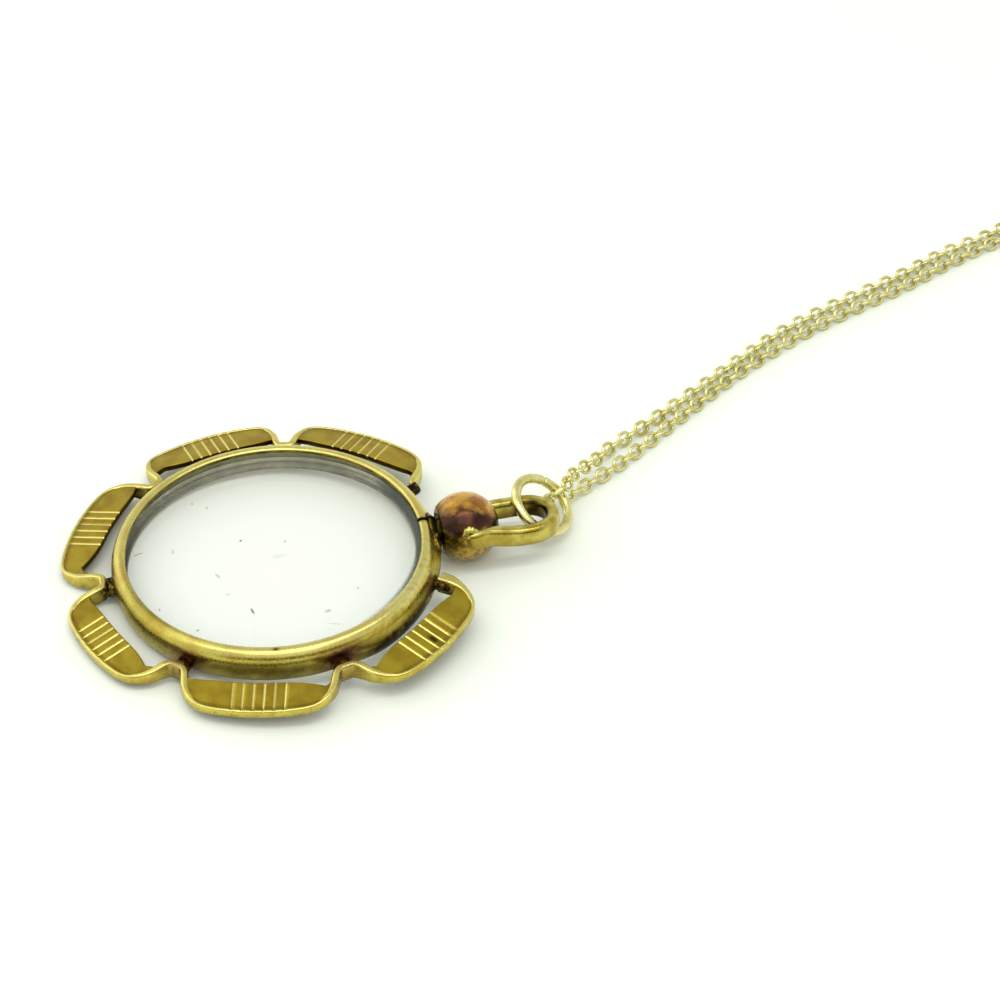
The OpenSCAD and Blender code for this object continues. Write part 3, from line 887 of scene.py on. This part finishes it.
# Azimuth, radius of the middle, half sizes out, round and up, height, lumpiness, purple stain,
# dark grime
SOLDER_LUMPS = [
    (24.6, 13.25, 0.66, 0.58, 0.62, -0.2, 0.18, 0.0, 0.85),
    (77.0, 13.0, 0.7, 0.95, 0.6, -0.45, 0.16, 0.0, 0.1),
    (125.5, 12.95, 0.66, 0.85, 0.6, -0.45, 0.16, 0.1, 0.15),
    (179.0, 12.95, 0.66, 1.05, 0.72, -0.36, 0.26, 0.2, 0.75),
    (228.0, 12.95, 0.66, 0.8, 0.58, -0.58, 0.2, 0.7, 0.55),
    (283.0, 12.95, 0.7, 0.9, 0.58, -0.58, 0.2, 0.6, 0.55),
    (333.6, 13.3, 0.8, 0.48, 0.48, -0.34, 0.16, 0.1, 0.8),
    (351.8, 12.48, 0.45, 1.25, 1.0, 0.22, 0.2, 0.1, 0.3),
    (6.8, 12.45, 0.36, 0.95, 0.9, -0.1, 0.16, 0.1, 0.75),
]


def solder_joints():
    """Lumps of solder, waisted where they flowed out to the ring and to the ribbon."""
    sphere, faces = ball_grid()
    reach = sphere[:, 0] ** 2
    for number, row in enumerate(SOLDER_LUMPS, 1):
        azimuth, radius, out, around, up, height, rough, purple, dark = row
        shape = lumpy(sphere, [(rough, 0.55, number * 3.3), (0.4 * rough, 0.22, number * 1.7)])
        shape[:, 1] *= 0.8 + 0.9 * reach
        shape[:, 2] *= 0.85 + 0.3 * reach
        points = shape * (out, around, up) + (radius, 0, height)
        patchy = 0.5 + 0.5 * lumps(sphere, 0.5, number * 8.8)
        # Painted shade: each lump darker on its underside.
        under_shade = 0.4 * ramp(0.2, -0.8, sphere[:, 2])
        made = piece(f"solder_joint_{number}", lay_down(turn(points, "z", math.radians(azimuth))),
            faces, SOLDER, {"grime_and_shade": np.clip(dark * (0.55 + patchy) + under_shade, 0, 1),
            "stain": np.clip(purple * (0.6 + patchy), 0, 1)})
        stands_for(made, "bezel")


# Split post with its thread
def split_post():
    """Two halves beside the slot; the thread's crest runs round both as one helix."""
    along = np.arange(CHANNEL_R + 0.1, POST_END_X, POST_STEP)
    slot = math.asin(POST_SLOT_HALF / (POST_R + THREAD_DEPTH))
    for number, side in enumerate((0, math.pi), 1):
        t = np.linspace(slot, math.pi - slot, 40) + side
        x, t = np.repeat(along, len(t)), np.tile(t, len(along))
        phase = (x / THREAD_PITCH - (t - math.pi / 2) / (2 * math.pi)) % 1
        crest = 1 - np.abs(2 * phase - 1)
        boss = ramp(12.95, 12.25, x) * POST_BOSS
        radius = POST_R + boss + ramp(12.85, 13.0, x) * THREAD_DEPTH * crest
        points = np.stack([x, radius * np.sin(t), radius * np.cos(t)], -1)
        # Painted shade with grime in the gap between ring and ball; the thread's grooves darker
        # still with painted shade.
        grime_and_shade = 0.82 + 0.16 * (1 - crest) * ramp(12.8, 13.0, x)
        faces = sweep_faces(len(along), len(x) // len(along))
        made = piece(f"split_post_{number}", lay_down(points), faces, GOLD, {"grime_and_shade": grime_and_shade},
            sharp=70)
        stands_for(made, "bezel")


# Ball
def lathe(profile, count):
    """Points and faces of a profile of (x, radius) turned about the x axis, closed on the axis."""
    turns = np.linspace(0, 2 * math.pi, count, endpoint=False)
    points, rings, faces = [], [], []
    for x, r in profile:
        if r == 0:
            rings.append([len(points)] * count)
            points.append((x, 0, 0))
        else:
            rings.append(list(range(len(points), len(points) + count)))
            points += [(x, r * math.cos(t), r * math.sin(t)) for t in turns]
    for a, b in zip(rings, rings[1:]):
        for k in range(count):
            n = (k + 1) % count
            faces.append(tuple(dict.fromkeys([a[k], a[n], b[n], b[k]])))
    return np.array(points), faces


def screw_ball():
    face_a = math.acos((BALL_X - BALL_FACE_X) / BALL_R)
    nose_a = math.acos((BALL_NOSE_X - BALL_X) / BALL_R)
    profile = [(BORE_END_X, 0), (BORE_END_X, BORE_R), (BALL_FACE_X + 0.1, BORE_R),
        (BALL_FACE_X, BORE_R + 0.1), (BALL_FACE_X, BALL_R * math.sin(face_a) - BALL_EDGE)]
    profile += [(BALL_X + BALL_R * math.cos(a), BALL_R * math.sin(a))
        for a in np.linspace(math.pi - face_a - 0.05, nose_a + 0.05, 60)]
    profile += [(BALL_NOSE_X, BALL_R * math.sin(nose_a) - BALL_EDGE), (BALL_NOSE_X, 0)]
    points, faces = lathe(profile, 96)
    middle = np.array([BALL_X, 0, 0])
    shell = np.linalg.norm(points - middle, axis=1) > BALL_R - 0.02
    dents = 0.012 + 0.012 * lumps(points[shell], 0.8)
    points[shell] -= unit(points[shell] - middle) * dents[:, None]
    laid = lay_down(points)
    from_middle = (laid - lay_down([middle])[0]) / BALL_R
    warmth = 0.5 + 0.5 * from_middle @ unit(np.array(WARM_SIDE))
    # Painted shade with soot on the side facing the post.
    shaded_sooty = from_middle @ unit(np.array(SHADED_SOOTY_SIDE)) + 0.12 * lumps(laid, 0.9, 2.2)
    made = piece("tarnished_ball", laid, faces, TARNISHED,
        {"warmth": warmth, "soot_and_shade": 0.75 * ramp(0.45, 0.95, shaded_sooty)}, sharp=50)
    stands_for(made, "screw_ball")


# Bail
def bail_course():
    """Middle line of the bail's strip, from its near leg round the bend to its far one."""
    leg_r = BAIL_W / 2
    bend_x = BAIL_END_X - BAIL_T / 2 - leg_r
    legs = np.linspace(BAIL_TIP_X, bend_x, 36)
    near_leg = np.stack([legs, -leg_r - BAIL_SPLAY * ramp(16.8, 15.2, legs)], -1)
    bend = polar(leg_r, np.linspace(-90, 90, 49)[1:-1]) + [bend_x, 0]
    far_leg = np.stack([legs[::-1], np.full(len(legs), leg_r)], -1)
    return np.concatenate([near_leg, bend, far_leg])


def on_ball(points):
    """From the bail's own frame to the surface that the pendant lies on."""
    return lay_down(turn(points, "x", -BAIL_TURN) + np.array(BAIL_AT))


def bail():
    line = bail_course()
    t = np.radians(np.arange(0, 360, 15))
    c, s = np.cos(t), np.sin(t)
    from_tip = np.minimum(line[:, 0] - line[0, 0], 9)
    slim = (0.55 + 0.45 * np.sqrt(np.clip(from_tip / 0.7, 0, 1)))[:, None]
    lift = BAIL_LIFT * ramp(19.5, 15.5, line[:, 0]) * (line[:, 1] < 0)
    side = np.copysign(np.abs(c) ** 0.55, c) * BAIL_T / 2 * slim
    height = np.copysign(np.abs(s) ** 0.6, s) * BAIL_H / 2 * slim
    points = swept(line, side, height + lift[:, None])
    bend = ramp(18.4, 20.2, line[:, :1])
    # Painted shade with grime: darker low down and on the inner side, most inside the bend.
    grime_and_shade = 0.25 * ramp(0.2, -0.7, height) + ramp(-0.1, -0.45, side) * (0.3 + 0.65 * bend)
    grime_and_shade = np.clip(grime_and_shade.ravel() * (1 + 0.7 * lumps(points, 0.8, 4.4)), 0, 1)
    made = piece("bail", on_ball(points), sweep_faces(*side.shape), BAIL_GOLD, {"grime_and_shade": grime_and_shade},
        sharp=60)
    stands_for(made, "screw_ball")
    sphere, faces = ball_grid(20, 28)
    for number, (leg, rise) in enumerate(BAIL_FEET, 1):
        shape = lumpy(sphere, [(0.14, 0.6, number * 6.1), (0.1, 0.25, number * 4.3)])
        foot = shape * BAIL_FOOT_SIZE + (BALL_X, leg * BAIL_W / 2 * 1.06, rise)
        patchy = np.clip(0.25 + 0.5 * lumps(sphere, 0.5, number * 2.2), 0, 1)
        made = piece(f"bail_solder_{number}", on_ball(foot), faces, BAIL_GOLD, {"grime_and_shade": patchy})
        stands_for(made, "screw_ball")


# Jump ring
def jump_ring():
    gap = math.degrees(JUMP_SEAM_HALF / JUMP_R)
    around = np.linspace(JUMP_SEAM_AT + gap, JUMP_SEAM_AT + 360 - gap, 145)
    turns = np.radians(np.arange(0, 360, 15))
    points = []
    for i, a in enumerate(around):
        wire = JUMP_WIRE / 2 * (0.9 if i in (0, len(around) - 1) else 1)
        xy = polar(JUMP_R + wire * np.cos(turns), a)
        points.append(np.column_stack([xy, wire * np.sin(turns)]))
    placed = turn(np.concatenate(points), "y", JUMP_LEAN)
    placed = turn(placed, "z", JUMP_HEADING) + np.array(JUMP_AT)
    made = piece("jump_ring_wire", placed, sweep_faces(len(around), len(turns)), PALE_GOLD)
    stands_for(made, "jump_ring")


# Chain of single links
def chain_course():
    """Smooth curve through the route's points."""
    route = np.array(CHAIN_ROUTE, float)
    last = len(route) - 1
    points = []
    for i in range(last):
        p0, p1 = route[max(i - 1, 0)], route[i]
        p2, p3 = route[i + 1], route[min(i + 2, last)]
        steps = max(4, int(np.linalg.norm(p2 - p1) / 0.25))
        for u in np.arange(steps) / steps:
            points.append(0.5 * (2 * p1 + (p2 - p0) * u + (2 * p0 - 5 * p1 + 4 * p2 - p3) * u * u
                + (3 * p1 - p0 - 3 * p2 + p3) * u ** 3))
    points.append(route[last])
    course = np.array(points)
    course[:, 1] = np.minimum(course[:, 1], CHAIN_FAR_Y)
    return course


def link_tree():
    """Geometry Nodes: oval wire links along a curve, each turned a quarter from the one before."""
    tree = bpy.data.node_groups.new("cable_chain_links", "GeometryNodeTree")
    for label, way, kind in (
            ("Course", "INPUT", "Geometry"), ("Link length", "INPUT", "Float"),
            ("Link width", "INPUT", "Float"), ("Wire thickness", "INPUT", "Float"),
            ("Pitch", "INPUT", "Float"), ("Metal", "INPUT", "Material"),
            ("Chain", "OUTPUT", "Geometry")):
        tree.interface.new_socket(label, in_out=way, socket_type="NodeSocket" + kind)
    given = node(tree, "NodeGroupInput").outputs
    wire_t = given["Wire thickness"]
    half_wire = node(tree, "ShaderNodeMath", {0: wire_t, 1: 0.5}, operation="MULTIPLY")
    length, width = (node(tree, "ShaderNodeMath", {0: given[label], 1: wire_t},
        operation="SUBTRACT") for label in ("Link length", "Link width"))
    # Just under half of the width, so that the corners of an end don't meet
    corner = node(tree, "ShaderNodeMath", {0: width, 1: 0.499}, operation="MULTIPLY")
    box = node(tree, "GeometryNodeCurvePrimitiveQuadrilateral", {"Width": length, "Height": width})
    oval = node(tree, "GeometryNodeFilletCurve", {"Curve": box, "Radius": corner, "Count": 3},
        mode="POLY")
    wire = node(tree, "GeometryNodeCurvePrimitiveCircle", {"Resolution": 6, "Radius": half_wire})
    link = node(tree, "GeometryNodeCurveToMesh", {"Curve": oval, "Profile Curve": wire})
    smooth = node(tree, "GeometryNodeSetShadeSmooth", {"Geometry": link})
    places = node(tree, "GeometryNodeCurveToPoints",
        {"Curve": given["Course"], "Length": given["Pitch"]}, mode="LENGTH").outputs
    index = node(tree, "GeometryNodeInputIndex")
    odd = node(tree, "ShaderNodeMath", {0: index, 1: 2.0}, operation="MODULO")
    roll = node(tree, "ShaderNodeMath", {0: odd, 1: math.pi / 2, 2: math.pi / 4},
        operation="MULTIPLY_ADD")
    lengthwise = node(tree, "FunctionNodeAxesToRotation",
        {0: places["Tangent"], 1: places["Normal"]}, primary_axis="X", secondary_axis="Z")
    spin = node(tree, "FunctionNodeAxisAngleToRotation", {"Axis": (1, 0, 0), "Angle": roll})
    turned = node(tree, "FunctionNodeRotateRotation", {0: lengthwise, 1: spin},
        rotation_space="LOCAL")
    placed = node(tree, "GeometryNodeInstanceOnPoints",
        {"Points": places["Points"], "Instance": smooth, "Rotation": turned})
    real = node(tree, "GeometryNodeRealizeInstances", {"Geometry": placed})
    done = node(tree, "GeometryNodeSetMaterial", {"Geometry": real, "Material": given["Metal"]})
    node(tree, "NodeGroupOutput", {"Chain": done})
    return tree


def chain():
    curve = bpy.data.curves.new("chain_course", "CURVE")
    curve.dimensions = "3D"
    curve.twist_mode = "Z_UP"
    spline = curve.splines.new("POLY")
    course = chain_course() * MM
    spline.points.add(len(course) - 1)
    spline.points.foreach_set("co", np.column_stack([course, np.ones(len(course))]).ravel())
    path = in_scene("chain_course", curve)
    tree = link_tree()
    modifier = path.modifiers.new("links", "NODES")
    modifier.node_group = tree
    values = {"Link length": LINK_L * MM, "Link width": LINK_W * MM,
        "Wire thickness": LINK_WIRE * MM, "Pitch": LINK_PITCH * MM, "Metal": PALE_GOLD}
    for item in tree.interface.items_tree:
        if item.in_out == "INPUT" and item.name in values:
            modifier[item.identifier] = values[item.name]
    bpy.context.view_layer.update()
    seen = path.evaluated_get(bpy.context.evaluated_depsgraph_get())
    made = in_scene("chain_links", bpy.data.meshes.new_from_object(seen))
    bpy.data.objects.remove(path)
    stands_for(made, "chain")


# Clasp
def clasp():
    """Barrel with grooves for the fingers and an eye at each end."""
    middle_x, middle_r = CLASP_HALF_L - CLASP_BEVEL, CLASP_R - CLASP_BEVEL
    side = [(middle_x + CLASP_BEVEL * math.sin(t), middle_r + CLASP_BEVEL * math.cos(t))
            for t in np.radians(np.arange(0, 91, 15))]
    grooves = []
    for x in np.arange(-1.5, 1.51, GROOVE_STEP):
        grooves += [(x - GROOVE_HALF_W, CLASP_R), (x - GROOVE_FLOOR, CLASP_R - GROOVE_DEPTH),
            (x + GROOVE_FLOOR, CLASP_R - GROOVE_DEPTH), (x + GROOVE_HALF_W, CLASP_R)]
    mirrored = [(-x, r) for x, r in side[::-1]]
    profile = [(-CLASP_HALF_L, 0), *mirrored, *grooves, *side, (CLASP_HALF_L, 0)]
    points, faces = lathe(profile, 48)
    turns = np.radians(np.arange(0, 360, 15))
    for end in (-1, 1):
        eye = [((EYE_R + EYE_WIRE_R * math.cos(t)) * math.cos(u) + end * (CLASP_HALF_L + EYE_R),
                EYE_WIRE_R * math.sin(t), (EYE_R + EYE_WIRE_R * math.cos(t)) * math.sin(u))
               for u in np.linspace(0, 2 * math.pi, 40, endpoint=False) for t in turns]
        faces += grid_faces(40, len(turns), closed_rows=True, first=len(points))
        points = np.concatenate([points, eye])
    points = turn(points, "z", CLASP_HEADING) + np.array(CLASP_AT)
    made = piece("clasp_barrel", points, faces, GOLD, {"grime_and_shade": np.full(len(points), 0.05)},
        sharp=35)
    stands_for(made, "clasp")


bezel_ring()
ribbon_frame()
for count, (one_petal, radii) in enumerate(zip(PETALS, PETAL_INNER_R), 1):
    petal_panel(count, one_petal, radii)
solder_joints()
split_post()
screw_ball()
bail()
jump_ring()
chain()
clasp()

for glass_name in ("front_glass", "back_glass"):
    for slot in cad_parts[glass_name].material_slots:
        slot.material = GLASS


# Stage, light and camera
def floor():
    corners = [(x * TABLE_HALF, y * TABLE_HALF, 0) for x, y in ((-1, -1), (1, -1), (1, 1), (-1, 1))]
    piece("table", corners, [(0, 1, 2, 3)], TABLE)


def area_light(name, place, target, width, depth, watts, colour):
    light = bpy.data.lights.new(name, "AREA")
    light.shape = "RECTANGLE"
    light.size, light.size_y = width * MM, depth * MM
    light.energy, light.color = watts, colour
    lamp = in_scene(name, light)
    lamp.location = Vector(place) * MM
    lamp.rotation_euler = (Vector(target) - Vector(place)).to_track_quat("-Z", "Y").to_euler()


def studio_world():
    """Light from a pale room: bright low behind the object and overhead, greyer between, bright
    above the camera and dark low down on the camera's side."""
    world = bpy.data.worlds.new("studio")
    tree = empty_tree(world)
    way = node(tree, "ShaderNodeTexCoord").outputs["Generated"]
    parts = node(tree, "ShaderNodeSeparateXYZ", {0: way}).outputs
    behind = blended(tree, parts[2], 0.35, 0.75, rgb("#F2F4EE"), rgb("#D4D8D0"))
    behind = blended(tree, parts[2], 0.9, 0.99, behind, rgb("#FAFCF4"))
    before = blended(tree, parts[2], 0.16, 0.43, rgb("#1C1914"), rgb("#FAFCF4"))
    colour = blended(tree, parts[1], -0.55, -0.9, behind, before)
    light = node(tree, "ShaderNodeBackground", {"Color": colour, "Strength": ROOM_LIGHT})
    node(tree, "ShaderNodeOutputWorld", {"Surface": light})
    bpy.context.scene.world = world


def camera():
    lens = bpy.data.cameras.new("camera")
    lens.lens, lens.sensor_width = FOCAL_LENGTH, SENSOR_W
    lens.clip_start, lens.clip_end = 0.01, 20
    seen_from = in_scene("camera", lens)
    seen_from.location = Vector(CAMERA_AT) * MM
    look, right = Vector(CAMERA_LOOK).normalized(), Vector(CAMERA_RIGHT).normalized()
    turned = Matrix((right, right.cross(look), -look)).transposed()
    seen_from.rotation_euler = turned.to_euler()
    bpy.context.scene.camera = seen_from


floor()
studio_world()
area_light("overhead_strip", (20, -70, 600), (20, 0, 0), 800, 50, 0.72, (1.0, 1.0, 0.97))
area_light("softbox", (-30, -230, 580), (0, 0, 0), 520, 420, 0.9, (1.0, 1.0, 0.98))
area_light("window", (-430, 200, 345), (10, 0, 0), 760, 760, 1.45, (0.98, 1.0, 0.98))
camera()
colours = bpy.context.scene.view_settings
colours.view_transform, colours.look, colours.exposure = "Standard", "None", 0.0
